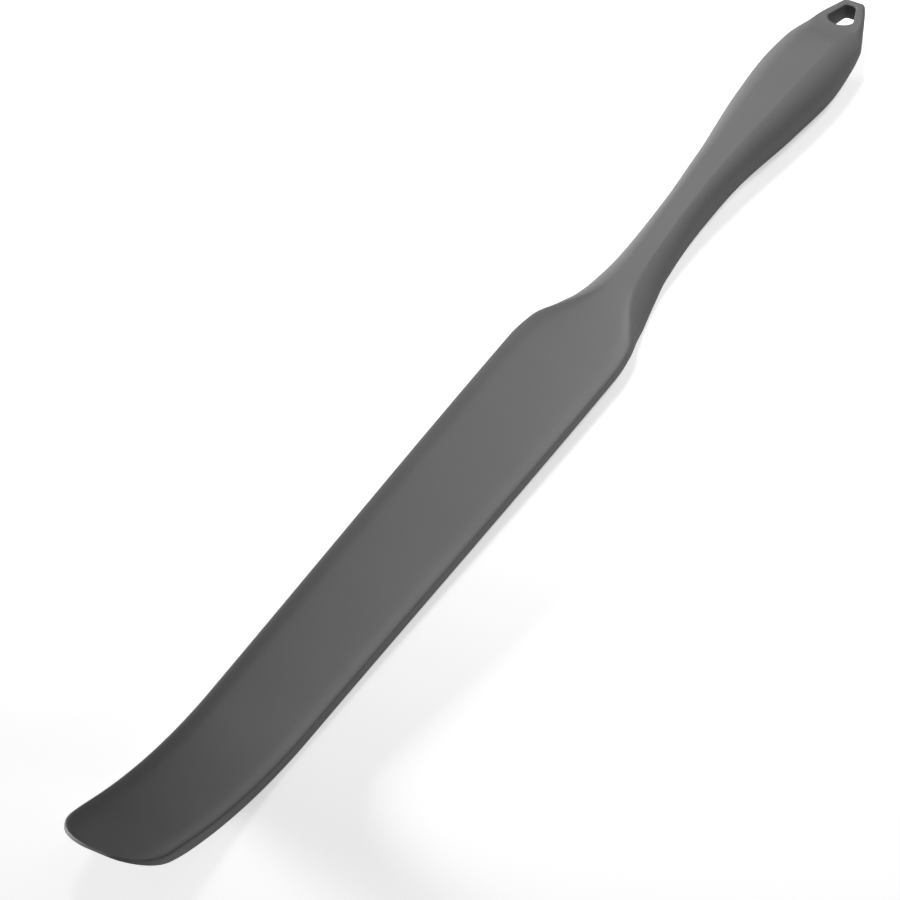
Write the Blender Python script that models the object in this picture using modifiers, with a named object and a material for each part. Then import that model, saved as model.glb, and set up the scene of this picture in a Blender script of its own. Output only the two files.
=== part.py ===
"""A blender spatula for scraping a jug: a slim silicone blade that runs through a waisted neck into a
full grip and a flat hang loop. The silicone is one skin, moulded over a spring-steel spine and a nylon core.

X runs from the blade's tip to the hang loop, Y across it and Z up. Distances along the part are measured
from the tip, and heights from the middle of the flat blade. At the end the rest frame tips the whole part
so that it lies on its back, with its box centred over the origin."""

import math
from collections import namedtuple

import bmesh
import bpy
import numpy as np

MM = 0.001
CLEARANCE = 0.3 * MM

# The plan, from the tip to the loop.
LENGTH = 336.5 * MM
BLADE_LENGTH = 198 * MM
NECK_FROM_END = 90.5 * MM
GRIP_FROM_END = 30.5 * MM
LOOP_LENGTH = 10.5 * MM

# The blade.
TIP_WIDTH = 24.0 * MM
TIP_ROUND = 9 * MM
TIP_ROUND_POWER = 2.4
TIP_FLARE = 0.1 * MM
TIP_EDGE = 0.8 * MM
TIP_TAPER = 14 * MM
BLADE_WIDTH = 27.4 * MM
BLADE_THICKNESS = 2.6 * MM
BLADE_EDGE = 1.0 * MM
DISH_DEPTH = 0.45 * MM
DISH_RUN_OUT = 8 * MM
CURL_LENGTH = 60 * MM
CURL_RADIUS = 127 * MM
CURL_ANGLE = math.radians(22)

# The neck, the grip and the loop: widths across, heights above and depths below the blade's middle.
SHOULDER_WIDTH = 25.8 * MM
SHOULDER_FLAT = 23.8 * MM
SHOULDER_KEEL = 0.2 * MM
SIDE_DROP = 3.4 * MM
SIDE_RISE = 1.0 * MM
NECK_WIDTH = 10.8 * MM
NECK_FLAT = 3.0 * MM
NECK_TOP = 4.6 * MM
NECK_BACK = 4.4 * MM
GRIP_WIDTH = 20.2 * MM
GRIP_FLAT = 8.0 * MM
GRIP_TOP = 6.2 * MM
GRIP_BACK = 5.8 * MM
LOOP_WIDTH = 14.3 * MM
LOOP_END_WIDTH = 5.6 * MM
LOOP_TOP = 3.2 * MM
LOOP_BACK = 2.0 * MM
LOOP_END_BACK = 0.9 * MM
LOOP_CORNER = 0.8 * MM
LOOP_EDGE = 0.4 * MM
LOOP_RIM = 1.5 * MM
LOOP_END_RIM = 0.8 * MM

# The hang hole: a shield, bowed on the grip's side and narrow at the far end.
HOLE_LENGTH = 8.2 * MM
HOLE_WIDTH = 6.8 * MM
HOLE_BOW = 2.2 * MM
HOLE_END_WIDTH = 2.8 * MM
HOLE_END_RIM = 2.1 * MM
HOLE_CORNER = 1.1 * MM

# The spring-steel spine, punched so that the silicone keys through it.
SPINE_WIDTH = 15 * MM
SPINE_THICKNESS = 0.5 * MM
SPINE_DEPTH = 0.2 * MM
SPINE_SETBACK = 3 * MM
SPINE_CORNER = 5 * MM
SPINE_TAPER_START = 8 * MM
SPINE_TAPER_END = 24 * MM
SPINE_WAIST = 7.2 * MM
TANG_LENGTH = 26 * MM
TANG_CORNER = 1 * MM
KEY_HOLE_RADIUS = 2.2 * MM
KEY_HOLE_PITCH = 24 * MM
TANG_HOLE_RADIUS = 1.0 * MM
TANG_HOLE_PITCH = 12 * MM

# The nylon core of the handle.
SKIN = 1.8 * MM
JAW_WALL = 0.7 * MM
CORE_AHEAD_OF_NECK = 10 * MM
CORE_SHORT_OF_LOOP = 10 * MM
CORE_KEY_RADIUS = 2.2 * MM
CORE_KEY_PITCH = 14 * MM
CORE_KEY_COUNT = 3
PEG_RADIUS = 0.8 * MM
PEG_ROOT = 4 * MM

# How finely curves are cut, and how many rings the lofts have.
TIP_RINGS = 10
TIP_FIRST_TURN = 0.12
CURL_RINGS = 13
BLADE_RINGS = 5
SHOULDER_RINGS = 23
GRIP_RINGS = 13
GRIP_END_RINGS = 9
CORNER_SHARES = (1, 0.6, 0.33, 0.12, 0)
CORE_RINGS = 20
ARC_STEPS = 5
CORNER_STEPS = 5
HOLE_SIDES = 20
HOLE_TURN = 0.38
PEG_SIDES = 16
MERGE = 0.001 * MM

NECK_X = LENGTH - NECK_FROM_END
GRIP_X = LENGTH - GRIP_FROM_END
LOOP_X = LENGTH - LOOP_LENGTH
HALF_BLADE = BLADE_THICKNESS / 2
LOOP_MIDDLE = (LOOP_TOP - LOOP_BACK) / 2

# One cross-section. Half width, half of the flat on top and on the back, then the heights of the top, of the
# widest line and of the back, how square the corners are above and below that line, and the dish's depth.
Section = namedtuple("Section", "half flat top side back above below dish")

TIP = Section(TIP_WIDTH / 2, TIP_WIDTH / 2 - BLADE_EDGE, TIP_EDGE / 2, 0, -TIP_EDGE / 2, 3, 3, 0)
BLADE = Section(BLADE_WIDTH / 2, BLADE_WIDTH / 2 - BLADE_EDGE, HALF_BLADE, 0, -HALF_BLADE, 5, 5, DISH_DEPTH)
SHOULDER = Section(
    SHOULDER_WIDTH / 2, SHOULDER_FLAT / 2, HALF_BLADE, -0.1 * SIDE_DROP, -HALF_BLADE - SHOULDER_KEEL, 4, 4, 0
)
NECK = Section(NECK_WIDTH / 2, NECK_FLAT / 2, NECK_TOP, 0, -NECK_BACK, 2, 2.4, 0)
GRIP = Section(GRIP_WIDTH / 2, GRIP_FLAT / 2, GRIP_TOP, 0.2 * SIDE_RISE, -GRIP_BACK, 2, 2.1, 0)
LOOP = Section(LOOP_WIDTH / 2, LOOP_WIDTH / 2 - LOOP_RIM, LOOP_TOP, LOOP_MIDDLE, -LOOP_BACK, 2, 6, 0)
LOOP_END = Section(
    LOOP_END_WIDTH / 2, LOOP_END_WIDTH / 2 - LOOP_END_RIM, LOOP_TOP, (LOOP_TOP - LOOP_END_BACK) / 2,
    -LOOP_END_BACK, 3, 6, 0,
)


def mix(start, end, share):
    return start + (end - start) * share


def sweep(start, end, across, over, under, side, above, below, flat=None):
    """A section part of the way from start to end: the shares by which its width, top and back have changed."""
    return Section(
        mix(start.half, end.half, across),
        mix(start.flat, end.flat, across if flat is None else flat),
        mix(start.top, end.top, over),
        side,
        mix(start.back, end.back, under),
        above,
        below,
        0,
    )


def loft_stations():
    """(distance from the tip, section) for each place where the outline changes its course."""
    near_tip = BLADE._replace(half=TIP.half + TIP_FLARE, flat=TIP.flat + TIP_FLARE)
    return [
        (0, TIP),
        (TIP_TAPER, near_tip._replace(dish=0.5 * DISH_DEPTH)),
        (2 * TIP_TAPER, near_tip),
        (BLADE_LENGTH - DISH_RUN_OUT, BLADE),
        (BLADE_LENGTH, SHOULDER),
        (mix(BLADE_LENGTH, NECK_X, 0.15), sweep(SHOULDER, NECK, 0.26, -0.10, 0.45, -0.6 * SIDE_DROP, 2, 3, 0.33)),
        (mix(BLADE_LENGTH, NECK_X, 0.29), sweep(SHOULDER, NECK, 0.48, -0.17, 0.84, -SIDE_DROP, 2, 3, 0.70)),
        (mix(BLADE_LENGTH, NECK_X, 0.44), sweep(SHOULDER, NECK, 0.68, 0.00, 0.86, -0.9 * SIDE_DROP, 2, 3, 0.93)),
        (mix(BLADE_LENGTH, NECK_X, 0.62), sweep(SHOULDER, NECK, 0.87, 0.30, 0.93, -0.6 * SIDE_DROP, 2, 2.7, 1)),
        (NECK_X, NECK),
        (mix(NECK_X, GRIP_X, 0.30), sweep(NECK, GRIP, 0.18, 0.75, -0.14, SIDE_RISE, 2, 1.9)),
        (mix(NECK_X, GRIP_X, 0.73), sweep(NECK, GRIP, 0.78, 1.19, 0.64, 0.6 * SIDE_RISE, 2, 2)),
        (GRIP_X, GRIP),
        (mix(GRIP_X, LOOP_X, 0.50), sweep(GRIP, LOOP, 0.17, 0.27, 0.31, 0.4 * SIDE_RISE, 2, 2.1, 0)),
        (mix(GRIP_X, LOOP_X, 0.80), sweep(GRIP, LOOP, 0.48, 0.78, 0.81, 0.8 * SIDE_RISE, 2, 3, 0)),
        (LOOP_X, LOOP),
        (LENGTH, LOOP_END),
    ]


STATIONS = loft_stations()


def smooth_value(values, x):
    """A value at x on a smooth curve through the stations, which never overshoots between two of them."""
    places = np.array([station[0] for station in STATIONS])
    gaps = np.diff(places)
    rates = np.diff(values) / gaps
    slopes = np.concatenate([rates[:1], np.zeros(len(rates) - 1), rates[-1:]])
    for i in range(1, len(rates)):
        if rates[i - 1] * rates[i] > 0:
            before = 2 * gaps[i] + gaps[i - 1]
            after = gaps[i] + 2 * gaps[i - 1]
            slopes[i] = (before + after) / (before / rates[i - 1] + after / rates[i])
    i = int(np.clip(np.searchsorted(places, x, side="right") - 1, 0, len(gaps) - 1))
    t = (x - places[i]) / gaps[i]
    ease = t * t * (3 - 2 * t)
    bend = slopes[i] * t * (1 - t) ** 2 - slopes[i + 1] * t * t * (1 - t)
    return mix(values[i], values[i + 1], ease) + gaps[i] * bend


def section_at(x):
    """The skin's section at x, with the tip's round end and the loop's rounded corners and edges."""
    section = Section(*(smooth_value(values, x) for values in zip(*(s for _, s in STATIONS))))
    if x < TIP_ROUND:
        narrowing = (1 - (1 - x / TIP_ROUND) ** TIP_ROUND_POWER) ** (1 / TIP_ROUND_POWER)
        section = section._replace(half=section.half * narrowing, flat=section.flat * narrowing)
    into_corner = x - (LENGTH - LOOP_CORNER)
    if into_corner > 0:
        trim = LOOP_CORNER - math.sqrt(max(0, LOOP_CORNER**2 - into_corner**2))
        narrowing = 1 - trim / section.half
        section = section._replace(half=section.half * narrowing, flat=section.flat * narrowing)
    edge_share = min(x / TIP_EDGE * 2, (LENGTH - x) / LOOP_EDGE, 1)
    lost = 0.5 * (1 - math.sqrt(max(0, 1 - (1 - edge_share) ** 2)))
    return section._replace(
        top=mix(section.top, section.side, lost), back=mix(section.back, section.side, lost)
    )


def inset(section, wall):
    """The section of a core that lies the wall's thickness inside the skin's."""
    flat = max(section.flat - wall, 0.3 * section.flat)
    return section._replace(
        half=section.half - wall, flat=flat, top=section.top - wall, back=section.back + wall, dish=0
    )


def half_ring(section):
    """(y, z) points from the middle of the top, round one side, to the middle of the back."""
    points = []
    for share, dished in ((0, 1), (0.5, 1), (0.75, 1), (0.88, 0.5)):
        points.append((section.flat * share, section.top - section.dish * dished))
    corner = section.half - section.flat
    for step in range(ARC_STEPS + 1):
        angle = math.pi / 2 * (1 - step / ARC_STEPS)
        power = 2 / section.above
        height = (section.top - section.side) * math.sin(angle) ** power
        points.append((section.flat + corner * abs(math.cos(angle)) ** power, section.side + height))
    for step in range(1, ARC_STEPS + 1):
        angle = math.pi / 2 * step / ARC_STEPS
        power = 2 / section.below
        depth = (section.side - section.back) * math.sin(angle) ** power
        points.append((section.flat + corner * abs(math.cos(angle)) ** power, section.side - depth))
    points.append((0, section.back))
    return points


def curl_at(x):
    """Height and slope of the blade's middle: flat, then an arc, then straight up to the tip."""
    arc_run = CURL_RADIUS * math.sin(CURL_ANGLE)
    into_arc = min(max(CURL_LENGTH - x, 0), arc_run)
    height = CURL_RADIUS - math.sqrt(CURL_RADIUS**2 - into_arc**2)
    height += max(CURL_LENGTH - arc_run - x, 0) * math.tan(CURL_ANGLE)
    return height, math.asin(into_arc / CURL_RADIUS)


def place_ring(x, points):
    """The half ring stood square to the blade's curled middle line at x."""
    height, slope = curl_at(x)
    return [(x + z * math.sin(slope), y, height + z * math.cos(slope)) for y, z in points]


def skin_places():
    """Distances from the tip of the skin's rings, close together where the form turns."""
    turns = np.linspace(TIP_FIRST_TURN, math.pi / 2, TIP_RINGS)
    blade_end = BLADE_LENGTH - 1.5 * DISH_RUN_OUT
    places = [TIP_ROUND * (1 - math.cos(turn)) for turn in turns]
    for start, end, rings in (
        (TIP_ROUND, CURL_LENGTH, CURL_RINGS),
        (CURL_LENGTH, blade_end, BLADE_RINGS),
        (blade_end, NECK_X, SHOULDER_RINGS),
        (NECK_X, GRIP_X, GRIP_RINGS),
        (GRIP_X, LOOP_X, GRIP_END_RINGS),
    ):
        places += [mix(start, end, (ring + 1) / rings) for ring in range(rings)]
    return places + [LENGTH - LOOP_CORNER * share for share in CORNER_SHARES]


def new_object(name, mesh, collection, material=None):
    obj = bpy.data.objects.new(name, mesh)
    collection.objects.link(obj)
    obj.parent = rest_frame
    if material:
        mesh.materials.append(material)
    else:
        obj.hide_render = True
        obj.display_type = "WIRE"
    return obj


def loft(name, rings, collection, material=None):
    """A closed body from half rings that run along X, mirrored across the middle plane."""
    bm = bmesh.new()
    rows = [[bm.verts.new(point) for point in ring] for ring in rings]
    for row, following in zip(rows, rows[1:]):
        for i in range(len(row) - 1):
            bm.faces.new((row[i], following[i], following[i + 1], row[i + 1]))
    bm.faces.new(rows[0])
    bm.faces.new(rows[-1][::-1])
    mesh = bpy.data.meshes.new(name)
    bm.to_mesh(mesh)
    bm.free()
    obj = new_object(name, mesh, collection, material)
    mirror = obj.modifiers.new("other half", "MIRROR")
    mirror.use_axis = (False, True, False)
    mirror.merge_threshold = MERGE
    return obj


def cut(obj, cutter, name):
    boolean = obj.modifiers.new(name, "BOOLEAN")
    boolean.operation = "DIFFERENCE"
    boolean.solver = "EXACT"
    boolean.object = cutter


def join(obj, other, name):
    boolean = obj.modifiers.new(name, "BOOLEAN")
    boolean.operation = "UNION"
    boolean.solver = "EXACT"
    boolean.object = other


def fillet(before, corner, after, radius):
    """Points of a round corner between two straight sides of an outline."""
    corner = np.array(corner)
    to_before = np.array(before) - corner
    to_after = np.array(after) - corner
    to_before /= np.linalg.norm(to_before)
    to_after /= np.linalg.norm(to_after)
    half_angle = math.acos(np.clip(to_before @ to_after, -1, 1)) / 2
    centre_line = to_before + to_after
    centre = corner + centre_line / np.linalg.norm(centre_line) * radius / math.sin(half_angle)
    start = corner + to_before * radius / math.tan(half_angle) - centre
    end = corner + to_after * radius / math.tan(half_angle) - centre
    turn = math.atan2(start[0] * end[1] - start[1] * end[0], start @ end)
    points = []
    for step in range(CORNER_STEPS + 1):
        angle = turn * step / CORNER_STEPS
        cos, sin = math.cos(angle), math.sin(angle)
        points.append(tuple(centre + (start[0] * cos - start[1] * sin, start[0] * sin + start[1] * cos)))
    return points


def flat_plate(name, outlines, middle, half_thickness, collection, material=None):
    """A plate from closed outlines in plan, the later ones holes, as a mesh with welded faces."""
    curve = bpy.data.curves.new(name, "CURVE")
    curve.dimensions = "2D"
    curve.fill_mode = "BOTH"
    curve.extrude = half_thickness
    for outline in outlines:
        spline = curve.splines.new("POLY")
        spline.points.add(len(outline) - 1)
        for point, (x, y) in zip(spline.points, outline):
            point.co = (x, y, 0, 1)
        spline.use_cyclic_u = True
    drawn = bpy.data.objects.new(name, curve)
    drawn.location.z = middle
    collection.objects.link(drawn)
    bpy.context.view_layer.update()
    evaluated = drawn.evaluated_get(bpy.context.evaluated_depsgraph_get())
    mesh = bpy.data.meshes.new_from_object(evaluated)
    mesh.transform(drawn.matrix_world)
    bpy.data.objects.remove(drawn)
    bpy.data.curves.remove(curve)
    bm = bmesh.new()
    bm.from_mesh(mesh)
    bmesh.ops.remove_doubles(bm, verts=bm.verts, dist=MERGE)
    bmesh.ops.recalc_face_normals(bm, faces=bm.faces)
    bm.to_mesh(mesh)
    bm.free()
    mesh.name = name
    return new_object(name, mesh, collection, material)


def rod(name, start, end, radius, sides, collection):
    """A round rod between two points, used to cut a hole or to join a peg."""
    start, end = np.array(start), np.array(end)
    bpy.ops.mesh.primitive_cylinder_add(
        vertices=sides, radius=radius, depth=float(np.linalg.norm(end - start)), location=(0, 0, 0)
    )
    made = bpy.context.active_object
    mesh = made.data
    mesh.name = name
    along_x = abs(end[0] - start[0]) > abs(end[2] - start[2])
    made.rotation_euler.y = math.pi / 2 if along_x else 0
    made.location = (start + end) / 2
    bpy.context.view_layer.update()
    mesh.transform(made.matrix_world)
    bpy.data.objects.remove(made)
    return new_object(name, mesh, collection)


def circle(x, y, radius, number):
    """A punched hole. Each is turned on from the last, as three points in a line would spoil the fill."""
    turns = [2 * math.pi * (step + HOLE_TURN * number) / HOLE_SIDES for step in range(HOLE_SIDES)]
    return [(x + radius * math.cos(turn), y + radius * math.sin(turn)) for turn in turns]


def hang_hole_outline():
    """A shield: an arc toward the grip, straight sides and a narrow end with round corners."""
    far = LENGTH - HOLE_END_RIM
    near = far - HOLE_LENGTH
    widest = near + HOLE_BOW
    half, half_end = HOLE_WIDTH / 2, HOLE_END_WIDTH / 2
    radius = (half**2 + HOLE_BOW**2) / (2 * HOLE_BOW)
    reach = math.asin(half / radius)
    arc = []
    for step in range(-CORNER_STEPS + 1, CORNER_STEPS):
        angle = reach * step / CORNER_STEPS
        arc.append((near + radius * (1 - math.cos(angle)), -radius * math.sin(angle)))
    low, high = (widest, -half), (widest, half)
    far_low, far_high = (far, -half_end), (far, half_end)
    return [
        *arc,
        *fillet(arc[-1], low, far_low, HOLE_CORNER),
        *fillet(low, far_low, far_high, HOLE_CORNER),
        *fillet(far_low, far_high, high, HOLE_CORNER),
        *fillet(far_high, high, arc[0], HOLE_CORNER),
    ]


def tang_half():
    """Half the width of the tang: what the neck leaves inside the skin and the jaws of the core."""
    return NECK.half - SKIN - JAW_WALL - CLEARANCE


def core_start():
    return NECK_X - CORE_AHEAD_OF_NECK


def core_end():
    return LOOP_X - CORE_SHORT_OF_LOOP


def tang_end():
    return core_start() + TANG_LENGTH


def spine_outlines(grow):
    """The spine's outline and its holes, all grown outward into the skin by the same amount."""
    start = CURL_LENGTH + SPINE_SETBACK - grow
    half = SPINE_WIDTH / 2 + grow
    waist = SPINE_WAIST / 2 + grow
    tang = tang_half() + grow
    end = tang_end() + grow
    side = [
        (BLADE_LENGTH - SPINE_TAPER_START, half),
        (BLADE_LENGTH + SPINE_TAPER_END, waist),
        (core_start(), tang),
    ]
    lower = [(x, -y) for x, y in side]
    corners = [(start, half), (start, -half), (end, -tang), (end, tang)]
    outline = [
        *fillet(side[0], corners[0], corners[1], SPINE_CORNER),
        *fillet(corners[0], corners[1], lower[0], SPINE_CORNER),
        *lower,
        *fillet(lower[-1], corners[2], corners[3], TANG_CORNER),
        *fillet(corners[2], corners[3], side[-1], TANG_CORNER),
        *side[::-1],
    ]
    first_key = CURL_LENGTH + SPINE_SETBACK + KEY_HOLE_PITCH / 2
    keys = np.arange(first_key, BLADE_LENGTH - SPINE_TAPER_START, KEY_HOLE_PITCH)
    tang_keys = [tang_end() - TANG_HOLE_PITCH / 2, tang_end() - TANG_HOLE_PITCH * 3 / 2]
    holes = [(x, KEY_HOLE_RADIUS) for x in keys] + [(x, TANG_HOLE_RADIUS) for x in tang_keys]
    return [outline, *(circle(x, 0, radius - grow, i) for i, (x, radius) in enumerate(holes))]


def core_rings(wall):
    """Rings of the handle's core, or of the space it lies in when the wall is less by the clearance."""
    ends = (core_start() - (SKIN - wall), core_end() + (SKIN - wall))
    return [place_ring(x, half_ring(inset(section_at(x), wall))) for x in np.linspace(*ends, CORE_RINGS)]


def core_key_places():
    """Where the silicone keys through the core: along the grip, behind the end of the tang."""
    last = core_end() - CORE_KEY_PITCH / 2
    return [last - CORE_KEY_PITCH * i for i in range(CORE_KEY_COUNT)]


def core_keys(name, radius, collection):
    """Upright rods through the core, as one cutter for each key."""
    return [
        rod(f"{name}_{i + 1}", (x, 0, -2 * GRIP_BACK), (x, 0, 2 * GRIP_TOP), radius, HOLE_SIDES, collection)
        for i, x in enumerate(core_key_places())
    ]


def peg_line(reach):
    """The ends of the tail peg's axis, from inside the core to its reach along the part."""
    return (core_end() - PEG_ROOT, 0, LOOP_MIDDLE), (reach, 0, LOOP_MIDDLE)


def make_material(name, colour, roughness, metallic):
    material = bpy.data.materials.new(name)
    material.use_nodes = True
    shader = material.node_tree.nodes["Principled BSDF"]
    shader.inputs["Base Color"].default_value = (*colour, 1)
    shader.inputs["Roughness"].default_value = roughness
    shader.inputs["Metallic"].default_value = metallic
    material.diffuse_color = (*colour, 1)
    return material


def make_spine():
    outlines = spine_outlines(0)
    silver = make_material("spring_steel", (0.55, 0.56, 0.58), 0.35, 1)
    return flat_plate("spine_strip", outlines, -SPINE_DEPTH, SPINE_THICKNESS / 2, parts, silver)


def make_core(spine_space):
    nylon = make_material("glass_filled_nylon", (0.62, 0.60, 0.55), 0.5, 0)
    core = loft("handle_core", core_rings(SKIN), parts, nylon)
    peg_end = LENGTH - HOLE_END_RIM - HOLE_LENGTH - CLEARANCE
    peg = rod("tail_peg", *peg_line(peg_end), PEG_RADIUS, PEG_SIDES, cutters)
    join(core, peg, "tail peg")
    for key in core_keys("core_key_hole", CORE_KEY_RADIUS, cutters):
        cut(core, key, "key hole")
    cut(core, spine_space, "slot for the tang")
    return core


def make_skin(spine_space):
    silicone = make_material("silicone", (0.13, 0.13, 0.13), 0.55, 0)
    rings = [place_ring(x, half_ring(section_at(x))) for x in skin_places()]
    skin = loft("silicone_body", rings, parts, silicone)
    hole_height = GRIP_TOP + GRIP_BACK
    hole = flat_plate("hang_hole", [hang_hole_outline()], 0, hole_height, cutters)
    core_space = loft("core_space", core_rings(SKIN - CLEARANCE), cutters)
    for key in core_keys("core_key_post", CORE_KEY_RADIUS - CLEARANCE, cutters):
        cut(core_space, key, "silicone left as a key")
    peg_mouth = LENGTH - HOLE_END_RIM - HOLE_LENGTH / 2
    peg_space = rod("peg_space", *peg_line(peg_mouth), PEG_RADIUS + CLEARANCE, PEG_SIDES, cutters)
    cut(skin, core_space, "space for the core")
    cut(skin, spine_space, "space for the spine")
    cut(skin, peg_space, "space for the tail peg")
    cut(skin, hole, "hang hole")
    return skin, rings


def lay_on_back(rings):
    """Tips the part until the blade's back and the grip's back both touch the ground, and centres its box."""
    back_fall = GRIP_BACK - HALF_BLADE
    tilt = -math.atan(back_fall / (GRIP_X - CURL_LENGTH))
    points = np.array([point for ring in rings for point in ring])
    along = points[:, 0] * math.cos(tilt) + points[:, 2] * math.sin(tilt)
    heights = points[:, 2] * math.cos(tilt) - points[:, 0] * math.sin(tilt)
    rest_frame.rotation_euler.y = tilt
    rest_frame.location = (-(along.min() + along.max()) / 2, 0, -heights.min())


def shade_round(obj):
    obj.data.shade_smooth()
    obj.data.set_sharp_from_angle(angle=math.radians(35))


for old in list(bpy.data.objects):
    bpy.data.objects.remove(old)

parts = bpy.data.collections.new("blender_spatula")
cutters = bpy.data.collections.new("cutters")
for collection in (parts, cutters):
    bpy.context.scene.collection.children.link(collection)
cutters.hide_render = True
rest_frame = bpy.data.objects.new("rest_frame", None)
parts.objects.link(rest_frame)

spine_space = flat_plate(
    "spine_space", spine_outlines(CLEARANCE), -SPINE_DEPTH, SPINE_THICKNESS / 2 + CLEARANCE, cutters
)
spine_strip = make_spine()
handle_core = make_core(spine_space)
silicone_body, skin_rings = make_skin(spine_space)
for piece in (spine_strip, handle_core, silicone_body):
    shade_round(piece)
lay_on_back(skin_rings)
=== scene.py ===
# %% [markdown]
# # A silicone blender spatula
#
# The real tool is one skin of matt grey silicone, moulded round a strip of spring steel and a core of
# glass-filled nylon. Nothing is screwed, glued or printed on it, so the whole look rests on three things: a
# form that flows without a seam from a thin blade into a full grip, a finish that is matt but not chalky,
# and edges that are soft by a few tenths of a millimetre. This lesson models the skin as a loft, cuts the
# hang hole, and lights it in a plain studio.
#
# The inner pieces are already there. They come with the frame, at their real size, and only need a finish.

# %% Load the frame
import math
from collections import namedtuple

import bmesh
import bpy
import numpy as np
from mathutils import Matrix, Vector
from mathutils.bvhtree import BVHTree


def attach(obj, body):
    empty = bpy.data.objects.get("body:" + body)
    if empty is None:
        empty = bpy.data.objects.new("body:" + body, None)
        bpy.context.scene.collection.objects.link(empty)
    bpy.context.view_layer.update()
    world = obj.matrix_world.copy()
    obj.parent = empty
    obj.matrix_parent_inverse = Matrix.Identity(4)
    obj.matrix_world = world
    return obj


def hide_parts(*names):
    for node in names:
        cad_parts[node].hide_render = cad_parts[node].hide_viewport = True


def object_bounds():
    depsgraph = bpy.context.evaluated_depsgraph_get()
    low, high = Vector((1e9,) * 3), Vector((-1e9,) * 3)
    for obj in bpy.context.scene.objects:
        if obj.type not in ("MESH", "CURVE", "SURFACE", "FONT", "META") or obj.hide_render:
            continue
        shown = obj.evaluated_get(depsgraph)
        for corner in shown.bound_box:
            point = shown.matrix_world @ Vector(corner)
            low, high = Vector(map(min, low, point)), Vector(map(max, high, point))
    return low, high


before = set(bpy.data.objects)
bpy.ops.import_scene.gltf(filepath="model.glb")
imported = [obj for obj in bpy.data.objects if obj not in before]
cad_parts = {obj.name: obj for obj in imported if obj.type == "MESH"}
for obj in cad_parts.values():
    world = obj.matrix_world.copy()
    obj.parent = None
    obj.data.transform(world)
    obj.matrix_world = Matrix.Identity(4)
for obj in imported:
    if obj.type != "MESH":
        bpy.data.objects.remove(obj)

MM = 0.001
bpy.context.view_layer.update()
cad_box = [list(corner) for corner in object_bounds()]
scene = bpy.context.scene
print("CAD box", [[round(value / MM, 2) for value in corner] for corner in cad_box], "mm")

# %% [markdown]
# ## The camera
#
# A long lens from a metre away flattens the perspective, as product photographs do. The camera looks at the
# flat blade from the tip's side, about forty degrees above it. It could be tracked to an empty, but a place
# worked out from a direction and a distance is easier to read and to correct. Roll is a small turn about
# the line of sight.

# %% Place the camera
CAMERA_TARGET = Vector((-20.4, 4.75, 6.03)) * MM
CAMERA_DISTANCE = 1096.8 * MM
CAMERA_BEARING = math.radians(-149.31)
CAMERA_ELEVATION = math.radians(40.93)
CAMERA_ROLL = math.radians(1.0)
LENS = 200
SENSOR = 36


def direction(bearing, elevation):
    """The unit vector that points that way, bearing from +X and elevation above the floor."""
    level = math.cos(elevation)
    return Vector((level * math.cos(bearing), level * math.sin(bearing), math.sin(elevation)))


def place_camera():
    """A long lens on its bearing, turned by the roll about the line of sight."""
    data = bpy.data.cameras.new("camera")
    data.lens = LENS
    data.sensor_width = SENSOR
    camera = bpy.data.objects.new("camera", data)
    scene.collection.objects.link(camera)
    back = direction(CAMERA_BEARING, CAMERA_ELEVATION)
    camera.location = CAMERA_TARGET + back * CAMERA_DISTANCE
    turn = back.to_track_quat("Z", "Y").to_matrix() @ Matrix.Rotation(-CAMERA_ROLL, 3, "Z")
    camera.rotation_euler = turn.to_euler()
    scene.camera = camera
    return camera


camera = place_camera()
print("camera at", [round(v, 3) for v in camera.location])

# %% [markdown]
# ## Two helpers for materials
#
# Colours are written as sRGB hex, as a paint chart would give them, and one function turns them into the
# linear values that shaders work in. One more function adds a node, sets what it needs and links it.

# %% Colour and node helpers


def linear(hex_colour):
    """An sRGB colour such as 8090A0 as linear red, green, blue and alpha."""
    channels = [int(hex_colour[i : i + 2], 16) / 255 for i in (0, 2, 4)]
    return (*(c / 12.92 if c <= 0.04045 else ((c + 0.055) / 1.055) ** 2.4 for c in channels), 1)


def add_node(tree, kind, settings=None, inputs=None, links=None):
    """A new node: settings are its properties, inputs its socket values, links its (node, output) pairs."""
    node = tree.nodes.new(kind)
    for name, value in (settings or {}).items():
        setattr(node, name, value)
    for name, value in (inputs or {}).items():
        node.inputs[name].default_value = value
    for name, (source, output) in (links or {}).items():
        tree.links.new(source.outputs[output], node.inputs[name])
    return node


def new_material(name):
    """An empty node material and its tree, with only the output left in it."""
    material = bpy.data.materials.new(name)
    material.use_nodes = True
    tree = material.node_tree
    tree.nodes.clear()
    output = add_node(tree, "ShaderNodeOutputMaterial")
    return material, tree, output


# %% [markdown]
# ## The silicone
#
# Kitchen silicone is compression moulded and pigmented all through. Its moulds are spark-eroded or blasted,
# which leaves a grain of a tenth of a millimetre, so light spreads on it and no reflection has an edge.
# What the eye sees is a dark even grey with a soft sheen on the grip's rounded shoulder. A glossy coat
# would look like plastic, and plain diffuse like chalk, so the finish is a rough dielectric with silicone's
# low index. The grain is drawn three times as coarse as it is, because at its real size no pixel would hold
# it.

# %% Silicone, compression moulded
SILICONE_TONES = ((0.35, "666666"), (0.65, "696969"))
SILICONE_IOR = 1.41
SILICONE_ROUGHNESS = 0.66
SHEEN_VARIATION = 0.04
CLOUD_SIZE = 24 * MM
GRAIN_SIZE = 0.3 * MM
GRAIN_DEPTH = 0.02 * MM
GRAIN_STRENGTH = 0.12


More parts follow.
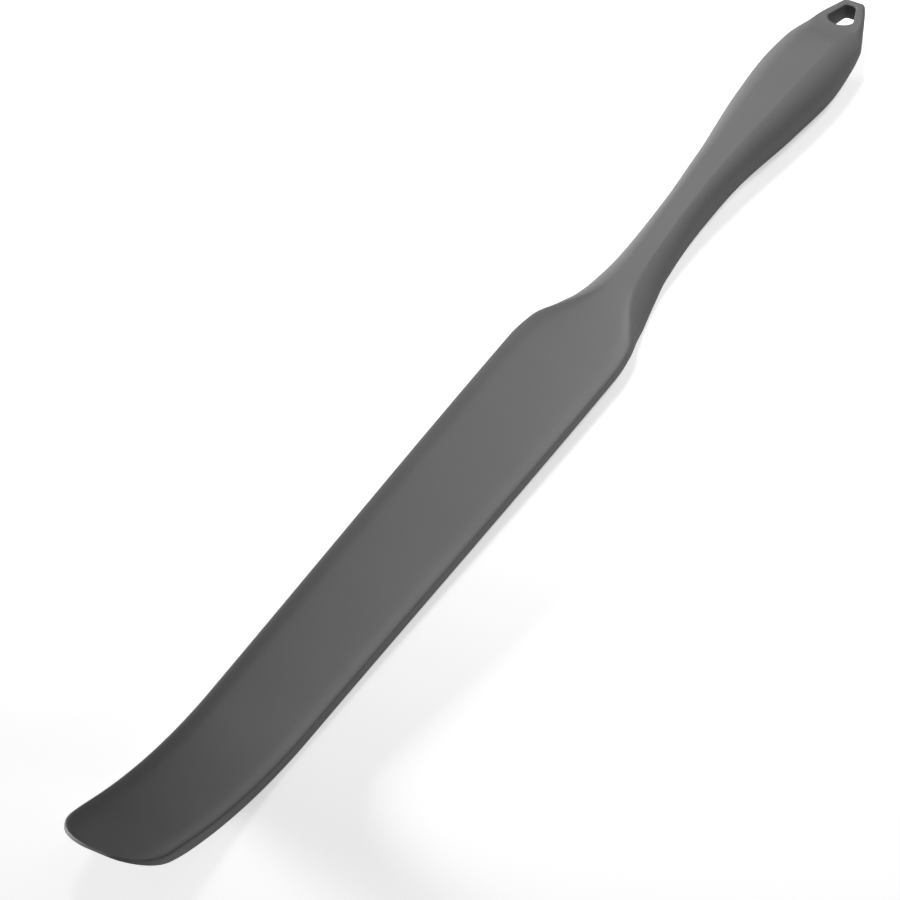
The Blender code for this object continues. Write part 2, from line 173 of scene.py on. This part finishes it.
def silicone():
    """Matt silicone: faint clouding of the pigment, a fine moulded grain and an even soft sheen."""
    material, tree, output = new_material("silicone_compression_moulded")
    place = add_node(tree, "ShaderNodeTexCoord")
    clouds = add_node(
        tree, "ShaderNodeTexNoise", None, {"Scale": 1 / CLOUD_SIZE, "Detail": 3, "Roughness": 0.5},
        {"Vector": (place, "Object")},
    )
    grain = add_node(
        tree, "ShaderNodeTexNoise", None, {"Scale": 1 / GRAIN_SIZE, "Detail": 2, "Roughness": 0.55},
        {"Vector": (place, "Object")},
    )
    tone = add_node(tree, "ShaderNodeValToRGB", None, None, {"Fac": (clouds, "Fac")})
    for stop, (place_on_ramp, colour) in zip(tone.color_ramp.elements, SILICONE_TONES):
        stop.position = place_on_ramp
        stop.color = linear(colour)
    sheen_range = add_node(
        tree, "ShaderNodeMapRange", None,
        {"To Min": SILICONE_ROUGHNESS - SHEEN_VARIATION, "To Max": SILICONE_ROUGHNESS + SHEEN_VARIATION},
        {"Value": (clouds, "Fac")},
    )
    relief = add_node(
        tree, "ShaderNodeBump", None, {"Strength": GRAIN_STRENGTH, "Distance": GRAIN_DEPTH},
        {"Height": (grain, "Fac")},
    )
    shader = add_node(
        tree, "ShaderNodeBsdfPrincipled", None, {"IOR": SILICONE_IOR},
        {"Base Color": (tone, "Color"), "Roughness": (sheen_range, "Result"), "Normal": (relief, "Normal")},
    )
    tree.links.new(shader.outputs["BSDF"], output.inputs["Surface"])
    return material


silicone_finish = silicone()
print("silicone", [round(linear(colour)[0], 3) for _, colour in SILICONE_TONES])

# %% [markdown]
# ## The inner pieces
#
# The spine is cold-rolled spring steel, which keeps fine lines along its length from the rolls. The core is
# nylon with a third of glass fibre, off-white and slightly mottled where fibres lie at its surface. The
# skin hides both, apart from the core's peg in the wall of the hang hole, but a section view shows them, so
# each gets its finish. Their shapes are right already: only the material slots change.

# %% Spring steel and glass-filled nylon
STEEL_COLOUR = "C4C6C8"
STEEL_ROUGHNESS = (0.28, 0.42)
ROLL_LINE = 0.4 * MM
ROLL_LINE_LENGTH = 30 * MM
NYLON_TONES = ((0.35, "CBC6B8"), (0.65, "D6D2C6"))
NYLON_IOR = 1.53
NYLON_ROUGHNESS = 0.5
FIBRE_SIZE = 0.8 * MM


def spring_steel():
    """Cold-rolled steel: a metal with its roughness drawn out in lines along X."""
    material, tree, output = new_material("spring_steel_cold_rolled")
    place = add_node(tree, "ShaderNodeTexCoord")
    stretch = add_node(tree, "ShaderNodeMapping", None, None, {"Vector": (place, "Object")})
    stretch.inputs["Scale"].default_value = (1 / ROLL_LINE_LENGTH, 1 / ROLL_LINE, 1 / ROLL_LINE)
    lines = add_node(
        tree, "ShaderNodeTexNoise", None, {"Scale": 1.0, "Detail": 2}, {"Vector": (stretch, "Vector")}
    )
    smoothest, roughest = STEEL_ROUGHNESS
    rough = add_node(
        tree, "ShaderNodeMapRange", None, {"To Min": smoothest, "To Max": roughest},
        {"Value": (lines, "Fac")},
    )
    shader = add_node(
        tree, "ShaderNodeBsdfPrincipled", None, {"Metallic": 1, "Base Color": linear(STEEL_COLOUR)},
        {"Roughness": (rough, "Result")},
    )
    tree.links.new(shader.outputs["BSDF"], output.inputs["Surface"])
    return material


def glass_filled_nylon():
    """Natural nylon with glass fibre: off-white, half matt, with a faint fibre mottle."""
    material, tree, output = new_material("nylon_glass_filled")
    place = add_node(tree, "ShaderNodeTexCoord")
    fibres = add_node(
        tree, "ShaderNodeTexNoise", None, {"Scale": 1 / FIBRE_SIZE, "Detail": 3},
        {"Vector": (place, "Object")},
    )
    tone = add_node(tree, "ShaderNodeValToRGB", None, None, {"Fac": (fibres, "Fac")})
    for stop, (place_on_ramp, colour) in zip(tone.color_ramp.elements, NYLON_TONES):
        stop.position = place_on_ramp
        stop.color = linear(colour)
    shader = add_node(
        tree, "ShaderNodeBsdfPrincipled", None, {"IOR": NYLON_IOR, "Roughness": NYLON_ROUGHNESS},
        {"Base Color": (tone, "Color")},
    )
    tree.links.new(shader.outputs["BSDF"], output.inputs["Surface"])
    return material


for node, finish in (("spine_strip", spring_steel()), ("handle_core", glass_filled_nylon())):
    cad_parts[node].data.materials.clear()
    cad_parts[node].data.materials.append(finish)
    print(node, "is finished in", finish.name)

# %% [markdown]
# ## The skin's sections
#
# A form that turns from a blade 2.6 mm thick into a grip 12 mm thick has no single profile, so it is drawn
# the way a mould maker draws it: as sections at chosen stations. Each section has a top and a flat back,
# joined by corners that run out to the widest line, and the blade's top is dished. The squareness of a
# corner is the exponent of a superellipse: 2 is a quarter ellipse and 5 is nearly square. Distances run
# from the tip, and heights from the middle of the flat blade.
#
# A section's eight values are half its width, half the width of its top, the heights of its top, its widest
# line and its back, the squareness of the corners above and below that line, and the dish's depth.
#
# The widest line drops below the top at the shoulder and comes up again along the neck. That is what turns
# the shoulder's sides down, and what makes the long, soft highlight of the neck.

# %% The main sections, from the tip to the loop
Section = namedtuple("Section", "half flat top side back above below dish")

LENGTH = 336.5 * MM
BLADE_LENGTH = 198 * MM
NECK_X = LENGTH - 90.5 * MM
GRIP_X = LENGTH - 30.5 * MM
LOOP_X = LENGTH - 10.5 * MM
SIDE_DROP = 3.4 * MM
SIDE_RISE = 1.0 * MM
DISH_RUN_OUT = 8 * MM
DISH_DEPTH = 0.45 * MM

TIP = Section(12.0 * MM, 11.0 * MM, 0.37 * MM, 0, -0.4 * MM, 3, 3, 0.1 * DISH_DEPTH)
NEAR_TIP = Section(12.1 * MM, 11.5 * MM, 1.3 * MM, 0, -1.3 * MM, 5, 5, DISH_DEPTH)
BLADE = NEAR_TIP._replace(half=13.7 * MM, flat=13.1 * MM)
SHOULDER = Section(12.9 * MM, 12.2 * MM, 1.3 * MM, -0.1 * SIDE_DROP, -1.5 * MM, 4, 4, 1.3 * DISH_DEPTH)
NECK = Section(5.3 * MM, 2.2 * MM, 4.6 * MM, 0, -4.4 * MM, 2, 2.4, 0)
GRIP = Section(10.1 * MM, 4.4 * MM, 6.2 * MM, 0.2 * SIDE_RISE, -5.8 * MM, 2, 2.1, 0)
LOOP = Section(7.15 * MM, 5.65 * MM, 3.2 * MM, 0.6 * MM, -2.0 * MM, 2, 6, 0)
LOOP_END = Section(2.8 * MM, 2.0 * MM, 3.2 * MM, 1.15 * MM, -0.9 * MM, 3, 6, 0)

# %% [markdown]
# ## The stations between them
#
# A shoulder drawn from two sections alone would change its width, its top and its back at one pace. The
# ones between have a share of the way for each, so they follow when a main section changes. A share below 0
# or above 1 goes past an end: the top dips a little before it rises into the neck.

# %% The seventeen stations


def mix(start, end, share):
    """A value part of the way from start to end."""
    return start + (end - start) * share


def sweep(start, end, across, over, under, side, above, below, flat=None, dish=0):
    """A section between two others.

    across, over, under and flat are its shares of the way for half, top, back and flat.
    """
    return Section(
        mix(start.half, end.half, across),
        mix(start.flat, end.flat, across if flat is None else flat),
        mix(start.top, end.top, over),
        side,
        mix(start.back, end.back, under),
        above,
        below,
        dish * DISH_DEPTH,
    )


TIP_TAPER = 14 * MM
STATIONS = (
    (0, TIP),
    (TIP_TAPER, NEAR_TIP),
    (2 * TIP_TAPER, NEAR_TIP),
    (BLADE_LENGTH - DISH_RUN_OUT, BLADE),
    (BLADE_LENGTH, SHOULDER),
    (
        mix(BLADE_LENGTH, NECK_X, 0.15),
        sweep(SHOULDER, NECK, 0.26, -0.10, 0.45, -0.6 * SIDE_DROP, 2, 3, flat=0.33, dish=1.1),
    ),
    (
        mix(BLADE_LENGTH, NECK_X, 0.29),
        sweep(SHOULDER, NECK, 0.48, -0.17, 0.84, -SIDE_DROP, 2, 3, flat=0.70, dish=0.5),
    ),
    (
        mix(BLADE_LENGTH, NECK_X, 0.44),
        sweep(SHOULDER, NECK, 0.68, 0.00, 0.86, -0.9 * SIDE_DROP, 2, 3, flat=0.93),
    ),
    (
        mix(BLADE_LENGTH, NECK_X, 0.62),
        sweep(SHOULDER, NECK, 0.87, 0.30, 0.93, -0.6 * SIDE_DROP, 2, 2.7, flat=1),
    ),
    (NECK_X, NECK),
    (mix(NECK_X, GRIP_X, 0.30), sweep(NECK, GRIP, 0.18, 0.75, -0.14, SIDE_RISE, 2, 1.9)),
    (mix(NECK_X, GRIP_X, 0.73), sweep(NECK, GRIP, 0.78, 1.19, 0.64, 0.6 * SIDE_RISE, 2, 2)),
    (GRIP_X, GRIP),
    (mix(GRIP_X, LOOP_X, 0.50), sweep(GRIP, LOOP, 0.17, 0.27, 0.31, 0.4 * SIDE_RISE, 2, 2.1, flat=0)),
    (mix(GRIP_X, LOOP_X, 0.80), sweep(GRIP, LOOP, 0.48, 0.78, 0.81, 0.8 * SIDE_RISE, 2, 3, flat=0)),
    (LOOP_X, LOOP),
    (LENGTH, LOOP_END),
)
STATION_PLACES = np.array([place for place, _ in STATIONS])
STATION_VALUES = np.array([section for _, section in STATIONS])
print(len(STATIONS), "stations from", STATION_PLACES[0], "to", STATION_PLACES[-1])

# %% [markdown]
# ## From stations to any section
#
# Between two stations each value runs on a smooth curve that never overshoots, so a waist stays a waist and
# a flat stays flat. Three trims are laid over it: the round plan of the tip, the rounded corners of the
# loop, and the rounded edge of both ends, which lose up to half of their thickness there.

# %% A section at any distance from the tip
TIP_ROUND = 9 * MM
TIP_ROUND_POWER = 2.4
TIP_EDGE = 0.4 * MM
LOOP_CORNER = 0.8 * MM
LOOP_EDGE = 0.4 * MM
EDGE_LOSS = 0.5


def station_slopes():
    """How fast each value changes at each station, and zero where it turns back."""
    gaps = np.diff(STATION_PLACES)[:, None]
    rates = np.diff(STATION_VALUES, axis=0) / gaps
    before, after = 2 * gaps[1:] + gaps[:-1], gaps[1:] + 2 * gaps[:-1]
    same_way = rates[:-1] * rates[1:] > 0
    first, second = np.where(same_way, rates[:-1], 1), np.where(same_way, rates[1:], 1)
    inner = np.where(same_way, (before + after) / (before / first + after / second), 0)
    return np.concatenate([rates[:1], inner, rates[-1:]])


STATION_SLOPES = station_slopes()


def section_at(x):
    """The skin's section at a distance from the tip."""
    i = int(np.clip(np.searchsorted(STATION_PLACES, x, side="right") - 1, 0, len(STATIONS) - 2))
    gap = STATION_PLACES[i + 1] - STATION_PLACES[i]
    t = (x - STATION_PLACES[i]) / gap
    level = mix(STATION_VALUES[i], STATION_VALUES[i + 1], t * t * (3 - 2 * t))
    bend = STATION_SLOPES[i] * t * (1 - t) ** 2 - STATION_SLOPES[i + 1] * t * t * (1 - t)
    section = Section(*(level + gap * bend))
    if x < TIP_ROUND:
        narrowing = (1 - (1 - x / TIP_ROUND) ** TIP_ROUND_POWER) ** (1 / TIP_ROUND_POWER)
        section = section._replace(half=section.half * narrowing, flat=section.flat * narrowing)
    into_corner = x - (LENGTH - LOOP_CORNER)
    if into_corner > 0:
        trim = LOOP_CORNER - math.sqrt(max(0, LOOP_CORNER**2 - into_corner**2))
        narrowing = 1 - trim / section.half
        section = section._replace(half=section.half * narrowing, flat=section.flat * narrowing)
    edge_share = min(x / TIP_EDGE, (LENGTH - x) / LOOP_EDGE, 1)
    lost = EDGE_LOSS * (1 - math.sqrt(max(0, 1 - (1 - edge_share) ** 2)))
    return section._replace(
        top=mix(section.top, section.side, lost), back=mix(section.back, section.side, lost)
    )


# %% [markdown]
# ## Placing a ring
#
# A section becomes a ring of points: along the top, down one corner to the widest line, on down to the
# back, and round the other side in mirror image. The ring then stands square to the middle line, which is
# straight apart from the curl at the tip. Last, the whole part lies on its back, tipped by a degree so that
# blade and grip both touch. How far it then has to move is known only once all its rings are made, so its
# place starts at zero.
#
# The dish is a shallow bow from side to side with a steeper lip, so its points lie closer near the lip.

# %% Ring points in the part's rest position
CURL_LENGTH = 60 * MM
CURL_RADIUS = 127 * MM
CURL_ANGLE = math.radians(22)
FLAT_SHARES = (0, 0.25, 0.5, 0.68, 0.8, 0.88, 0.95)
LIP_SHARE = 0.25
BOW_SHARE = 0.6
CORNER_STEPS = 9
BACK_SHARES = (0.93, 0.75, 0.5, 0.25)

REST_TILT = -math.atan((BLADE.back - GRIP.back) / (GRIP_X - CURL_LENGTH))
REST_PLACE = Vector((0, 0, 0))


def dished(share):
    """How much of the dish's depth is reached: a shallow bow from side to side, with a steeper lip."""
    into_lip = min((1 - share) / LIP_SHARE, 1)
    return mix(into_lip**2 * (3 - 2 * into_lip), 1 - share**2, BOW_SHARE)


def half_ring(section):
    """(y, z) from the middle of the top, round one side, to the middle of the back."""
    points = [(section.flat * share, section.top - section.dish * dished(share)) for share in FLAT_SHARES]
    corner = section.half - section.flat
    for power, height, steps in (
        (2 / section.above, section.top - section.side, range(CORNER_STEPS, -1, -1)),
        (2 / section.below, section.back - section.side, range(1, CORNER_STEPS + 1)),
    ):
        for step in steps:
            angle = math.pi / 2 * step / CORNER_STEPS
            out = abs(math.cos(angle)) ** power
            points.append((section.flat + corner * out, section.side + height * math.sin(angle) ** power))
    return points + [(section.flat * share, section.back) for share in BACK_SHARES] + [(0, section.back)]


def curl_at(x):
    """Height and slope of the middle line: flat, then an arc, then straight up to the tip."""
    arc_run = CURL_RADIUS * math.sin(CURL_ANGLE)
    into_arc = min(max(CURL_LENGTH - x, 0), arc_run)
    height = CURL_RADIUS - math.sqrt(CURL_RADIUS**2 - into_arc**2)
    height += max(CURL_LENGTH - arc_run - x, 0) * math.tan(CURL_ANGLE)
    return height, math.asin(into_arc / CURL_RADIUS)


def stand_up(x, points):
    """(y, z) points as places on the middle line at x, still with the blade level."""
    height, slope = curl_at(x)
    return [Vector((x + z * math.sin(slope), y, height + z * math.cos(slope))) for y, z in points]


def lay_down(points):
    """Places of the level blade, moved to where the part lies on its back."""
    turn = Matrix.Rotation(REST_TILT, 3, "Y")
    return [turn @ point + REST_PLACE for point in points]


def ring_at(x):
    """The whole ring at x, in order round it."""
    half = half_ring(section_at(x))
    other = [(-y, z) for y, z in half[-2:0:-1]]
    return lay_down(stand_up(x, half + other))


print("tilt at rest", round(math.degrees(REST_TILT), 2), "degrees, points in a ring", len(ring_at(NECK_X)))

# %% [markdown]
# ## The skin as a loft
#
# A curve with a bevel can only scale its section, and a box shaped by eye would not hold a width to a tenth
# of a millimetre. So the skin is bridged: one circle for each ring, its vertices set on the section, and
# then one bridge through all of them. The rings crowd together where the form turns, at the tip, the curl,
# the shoulder and the loop, and stand apart on the straight blade.

# %% A loft from rings


def only(piece):
    """Makes the piece the active object and the only one selected."""
    bpy.ops.object.select_all(action="DESELECT")
    piece.select_set(True)
    bpy.context.view_layer.objects.active = piece


def loft(name, rings):
    """A closed body: circles set on the rings, bridged from the first to the last, and capped."""
    bpy.ops.object.select_all(action="DESELECT")
    bpy.ops.mesh.primitive_circle_add(vertices=len(rings[0]), radius=LENGTH)
    piece = bpy.context.active_object
    piece.name = name
    bpy.ops.object.mode_set(mode="EDIT")
    for _ in rings[1:]:
        bpy.ops.mesh.primitive_circle_add(vertices=len(rings[0]), radius=LENGTH)
    bpy.ops.object.mode_set(mode="OBJECT")
    for vertex, place in zip(piece.data.vertices, (point for ring in rings for point in ring)):
        vertex.co = place
    bpy.ops.object.mode_set(mode="EDIT")
    bpy.ops.mesh.select_all(action="SELECT")
    bpy.ops.mesh.bridge_edge_loops(type="SINGLE")
    for first in (0, len(piece.data.vertices) - len(rings[0])):
        bpy.ops.mesh.select_all(action="DESELECT")
        body = bmesh.from_edit_mesh(piece.data)
        body.verts.ensure_lookup_table()
        for vertex in body.verts[first : first + len(rings[0])]:
            vertex.select = True
        body.select_flush(True)
        bmesh.update_edit_mesh(piece.data)
        bpy.ops.mesh.edge_face_add()
    bpy.ops.mesh.select_all(action="SELECT")
    bpy.ops.mesh.normals_make_consistent(inside=False)
    bpy.ops.object.mode_set(mode="OBJECT")
    piece.location = (0, 0, 0)
    return piece


# %% [markdown]
# ## The skin's rings
#
# Round the tip's corners and the loop's, the rings follow equal turns of a quarter circle, which spreads
# their points evenly along the outline. The first ring lies a hair's breadth into the tip, because at the
# very end a ring would have no width. Elsewhere each stretch has its own spacing, finest on the shoulder
# and where the grip runs into the loop.

# %% The rings of the skin
TIP_RINGS = 20
TIP_FIRST_TURN = 0.12
LOOP_CORNER_RINGS = 10
BEFORE_SHOULDER = BLADE_LENGTH - 1.5 * DISH_RUN_OUT
RING_SPACING = (
    (CURL_LENGTH, 1.7 * MM),
    (BEFORE_SHOULDER, 8 * MM),
    (NECK_X, 1.2 * MM),
    (GRIP_X, 2 * MM),
    (LOOP_X, 0.85 * MM),
    (LENGTH - LOOP_CORNER, 1.6 * MM),
)


def skin_places():
    """Distances from the tip of the rings, close together where the form turns."""
    turns = np.linspace(TIP_FIRST_TURN, math.pi / 2, TIP_RINGS)
    places = [TIP_ROUND * (1 - math.cos(turn)) for turn in turns]
    for end, spacing in RING_SPACING:
        start = places[-1]
        rings = round((end - start) / spacing)
        places += [mix(start, end, (ring + 1) / rings) for ring in range(rings)]
    turns = np.linspace(0, math.pi / 2, LOOP_CORNER_RINGS)[1:]
    return places + [LENGTH - LOOP_CORNER * (1 - math.sin(turn)) for turn in turns]


points = [point for x in skin_places() for point in ring_at(x)]
tip_end = min(point.x for point in points)
lowest = min(point.z for point in points)
REST_PLACE = Vector((cad_box[0][0] - tip_end, 0, -lowest))
print("rest place", [round(v / MM, 3) for v in REST_PLACE], "mm")
skin = loft("silicone_skin", [ring_at(x) for x in skin_places()])
print("skin", len(skin.data.vertices), "vertices,", len(skin.data.polygons), "faces")

# %% [markdown]
# ## The hang hole
#
# The hole is a shield: an arc toward the grip, two straight sides and a narrow end. On the real piece the
# mould's pin has a small radius where it meets the faces, so the rim is soft. A bevel after the cut would
# have to work round the loft's small faces, so the softness is in the cutter instead: it flares where it
# passes through each face, and one exact Boolean cuts hole and rim together. The arc stops short of the
# shield's sides, because a fillet takes its place at each corner.

# %% The shield's outline
HOLE_FAR = LENGTH - 2.1 * MM
HOLE_NEAR = HOLE_FAR - 8.2 * MM
HOLE_BOW = 2.2 * MM
HOLE_HALF = 3.4 * MM
HOLE_END_HALF = 1.4 * MM
HOLE_CORNER = 1.1 * MM
ARC_STEPS = 12
ARC_STEPS_KEPT = 9


def fillet(before, corner, after):
    """Points of a round corner between two straight sides."""
    corner = Vector(corner)
    to_before = (Vector(before) - corner).normalized()
    to_after = (Vector(after) - corner).normalized()
    half_angle = to_before.angle(to_after) / 2
    centre = corner + (to_before + to_after).normalized() * HOLE_CORNER / math.sin(half_angle)
    start = corner + to_before * HOLE_CORNER / math.tan(half_angle) - centre
    end = corner + to_after * HOLE_CORNER / math.tan(half_angle) - centre
    turn = -start.angle_signed(end)
    return [centre + Matrix.Rotation(turn * i / ARC_STEPS, 2) @ start for i in range(ARC_STEPS + 1)]


def shield_outline():
    """(x, y) points round the hole, from the arc to the narrow end and back."""
    radius = (HOLE_HALF**2 + HOLE_BOW**2) / (2 * HOLE_BOW)
    reach = math.asin(HOLE_HALF / radius)
    arc = []
    for step in range(-ARC_STEPS_KEPT, ARC_STEPS_KEPT + 1):
        angle = reach * step / ARC_STEPS
        arc.append(Vector((HOLE_NEAR + radius * (1 - math.cos(angle)), -radius * math.sin(angle))))
    low = Vector((HOLE_NEAR + HOLE_BOW, -HOLE_HALF))
    high = Vector((HOLE_NEAR + HOLE_BOW, HOLE_HALF))
    far_low = Vector((HOLE_FAR, -HOLE_END_HALF))
    far_high = Vector((HOLE_FAR, HOLE_END_HALF))
    return [
        *arc,
        *fillet(arc[-1], low, far_low),
        *fillet(low, far_low, far_high),
        *fillet(far_low, far_high, high),
        *fillet(far_high, high, arc[0]),
    ]


def grown(outline, by):
    """The outline with each point moved outward, square to its neighbours."""
    points = []
    for i, point in enumerate(outline):
        along = (outline[(i + 1) % len(outline)] - outline[i - 1]).normalized()
        points.append(point + Vector((along.y, -along.x)) * by)
    return points


shield = shield_outline()
print("shield", len(shield), "points, x from", round(min(p.x for p in shield) / MM, 2))

# %% Cut the hole with its soft rim
RIM_ROUND = 0.35 * MM
RIM_TURN = math.radians(75)
RIM_STEPS = 5
CUTTER_FLARE = 3 * RIM_ROUND


def shield_cutter():
    """A pin of the shield's outline, flared by most of a quarter round at each face of the loop."""
    rings = []
    turns = [RIM_TURN * step / RIM_STEPS for step in range(RIM_STEPS + 1)]
    for face, out in (("back", -1), ("top", 1)):
        flare = [(RIM_ROUND * (math.sin(turn) - 1), RIM_ROUND * (1 - math.cos(turn))) for turn in turns]
        flare.append((RIM_ROUND, CUTTER_FLARE))
        for beyond, by in flare[::out]:
            outline = grown(shield, by)
            heights = [getattr(section_at(point.x), face) + out * beyond for point in outline]
            rings.append(lay_down([Vector((*point, height)) for point, height in zip(outline, heights)]))
    return loft("hole_cutter", rings)


def cut(piece, cutter):
    """Takes the cutter's body out of the piece with an exact Boolean, and removes the cutter."""
    only(piece)
    boolean = piece.modifiers.new("cut", "BOOLEAN")
    boolean.operation = "DIFFERENCE"
    boolean.solver = "EXACT"
    boolean.object = cutter
    bpy.ops.object.modifier_apply(modifier=boolean.name)
    bpy.data.objects.remove(cutter)


cut(skin, shield_cutter())
print("with the hang hole,", len(skin.data.polygons), "faces")

# %% [markdown]
# ## The mouth of the core's peg
#
# While the silicone is moulded, a peg on the nylon core's tail rests against the hole's pin and keeps the
# core in the middle. Its end stays visible in the wall of the hole as a small pale disc. The peg is the
# core's own, from the frame, so the skin only needs an opening for it, a little wider than the peg.

# %% Open the peg's mouth
PEG_MOUTH_RADIUS = 1.1 * MM
PEG_MOUTH_DEPTH = 3 * MM
PEG_SIDES = 32
LOOP_MIDDLE = (LOOP.top + LOOP.back) / 2
SMOOTH_ANGLE = math.radians(38)


def peg_mouth():
    """A round cutter along X, from inside the wall to the middle of the hole."""
    rings = []
    for x in (HOLE_NEAR - PEG_MOUTH_DEPTH, (HOLE_NEAR + HOLE_FAR) / 2):
        turns = [2 * math.pi * side / PEG_SIDES for side in range(PEG_SIDES)]
        circle = [(math.sin(turn), LOOP_MIDDLE / PEG_MOUTH_RADIUS + math.cos(turn)) for turn in turns]
        rings.append(lay_down([Vector((x, y * PEG_MOUTH_RADIUS, z * PEG_MOUTH_RADIUS)) for y, z in circle]))
    return loft("peg_cutter", rings)


cut(skin, peg_mouth())
only(skin)
bpy.ops.object.shade_smooth_by_angle(angle=SMOOTH_ANGLE)
skin.data.materials.clear()
skin.data.materials.append(silicone_finish)
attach(skin, "root")
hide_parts("silicone_body")

# %% [markdown]
# ## The skin beside the solid
#
# The skin stands for a solid that others measure and weigh, so it has to keep to it. A tree of the solid's
# faces finds the nearest one to each point of the skin, and the distances should be tenths of a millimetre
# at most. A closed mesh also has no open edge and a positive volume, which shows that its faces point out.

# %% How far the skin lies from the solid
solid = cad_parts["silicone_body"]
tree = BVHTree.FromPolygons([v.co for v in solid.data.vertices], [p.vertices for p in solid.data.polygons])
gaps = sorted(tree.find_nearest(v.co)[3] for v in skin.data.vertices)
print("skin to solid: median", round(gaps[len(gaps) // 2] / MM, 3), "most", round(gaps[-1] / MM, 3), "mm")
shape = bmesh.new()
shape.from_mesh(skin.data)
open_edges = sum(not edge.is_manifold for edge in shape.edges)
print("open edges", open_edges, "volume", round(shape.calc_volume() / MM**3), "cubic mm")
shape.free()

# %% [markdown]
# ## Floor and background
#
# The product stands on white. A floor bright enough to be white would throw as much light back on the part,
# so its whiteness is only for the camera: it adds a glow that no other ray sees, on top of a plain pale
# paint that still takes the shadow. The world does the same above the horizon. Nothing in view is glass or
# bare metal, so reflections see the plain world and not the white one.

# %% White floor that keeps the shadow
FLOOR_SIZE = 8
FLOOR_COLOUR = "E6E6E6"
FLOOR_GLOW = 0.55
WHITE = (1, 1, 1, 1)


def floor_paint():
    """Matt pale paint, with a glow that only the camera sees."""
    material, tree, output = new_material("pale_studio_paint")
    paint = add_node(tree, "ShaderNodeBsdfDiffuse", None, {"Color": linear(FLOOR_COLOUR)})
    rays = add_node(tree, "ShaderNodeLightPath")
    strength = add_node(
        tree, "ShaderNodeMath", {"operation": "MULTIPLY"}, None, {0: (rays, "Is Camera Ray")}
    )
    strength.inputs[1].default_value = FLOOR_GLOW
    glow = add_node(tree, "ShaderNodeEmission", None, {"Color": WHITE}, {"Strength": (strength, "Value")})
    both = add_node(tree, "ShaderNodeAddShader", None, None, {0: (paint, "BSDF"), 1: (glow, "Emission")})
    tree.links.new(both.outputs["Shader"], output.inputs["Surface"])
    return material


bpy.ops.object.select_all(action="DESELECT")
bpy.ops.mesh.primitive_plane_add(size=FLOOR_SIZE)
floor = bpy.context.active_object
floor.name = "floor"
floor.data.materials.append(floor_paint())

# %% [markdown]
# ## Light
#
# The blade is flat, so its tone can only change where its face turns. A long low strip on its left grazes
# it: the dished face darkens along its left lip and lightens along its right one, and the curl, which turns
# away, goes darkest of all. Its grid keeps it off the grip, whose flank would flare. A very weak lamp on
# the right, with a grid as well, brings out the blade's other side, so that its thickness can be read. A
# small lamp above the grip lights its top and its left side alike and leaves the right side to fall off
# into the dark, and a weak one opposite softens the crest. A little pale light from everywhere keeps the
# undersides readable.

# %% World and lamps
WORLD_STRENGTH = 0.115
BLADE_AIM = (-0.08, 0, 0)
GRIP_AIM = (0.14, 0, 0.01)


def pale_world():
    """White where the camera looks past the floor, and a plain pale light for the rest."""
    world = bpy.data.worlds.new("pale_world")
    world.use_nodes = True
    tree = world.node_tree
    tree.nodes.clear()
    output = add_node(tree, "ShaderNodeOutputWorld")
    rays = add_node(tree, "ShaderNodeLightPath")
    strength = add_node(
        tree, "ShaderNodeMapRange", None, {"To Min": WORLD_STRENGTH, "To Max": 1.0},
        {"Value": (rays, "Is Camera Ray")},
    )
    sky = add_node(tree, "ShaderNodeBackground", None, {"Color": WHITE}, {"Strength": (strength, "Result")})
    tree.links.new(sky.outputs["Background"], output.inputs["Surface"])
    scene.world = world


def lamp(name, aim, bearing, elevation, distance, panel, watts, spread):
    """A soft light seen from its aim at a bearing, an elevation and a distance.

    Angles are in degrees, panel is the light's width and height, and a small spread is a grid.
    """
    data = bpy.data.lights.new(name, "AREA")
    data.shape = "RECTANGLE"
    data.size, data.size_y = panel
    data.energy = watts
    data.spread = math.radians(spread)
    made = bpy.data.objects.new(name, data)
    scene.collection.objects.link(made)
    towards = direction(math.radians(bearing), math.radians(elevation))
    made.location = Vector(aim) + towards * distance
    made.rotation_euler = towards.to_track_quat("Z", "Y").to_euler()
    return made


pale_world()
lamps = [
    lamp("low_strip", BLADE_AIM, 99, 7, distance=1.0, panel=(0.5, 0.08), watts=0.95, spread=30),
    lamp("edge_fill", BLADE_AIM, 262, 8, distance=0.6, panel=(0.25, 0.06), watts=0.03, spread=20),
    lamp("grip_left", GRIP_AIM, 60, 65, distance=0.8, panel=(0.3, 0.3), watts=0.3, spread=38),
    lamp("grip_right", GRIP_AIM, 300, 65, distance=0.8, panel=(0.2, 0.2), watts=0.08, spread=32),
]
print("lamps", {made.name: (made.data.energy, [round(v, 2) for v in made.location]) for made in lamps})

# %% [markdown]
# ## The view transform
#
# The Standard view transform shows a colour as it was chosen, where a filmic one would grey the white
# floor.

# %% Output
scene.view_settings.view_transform = "Standard"
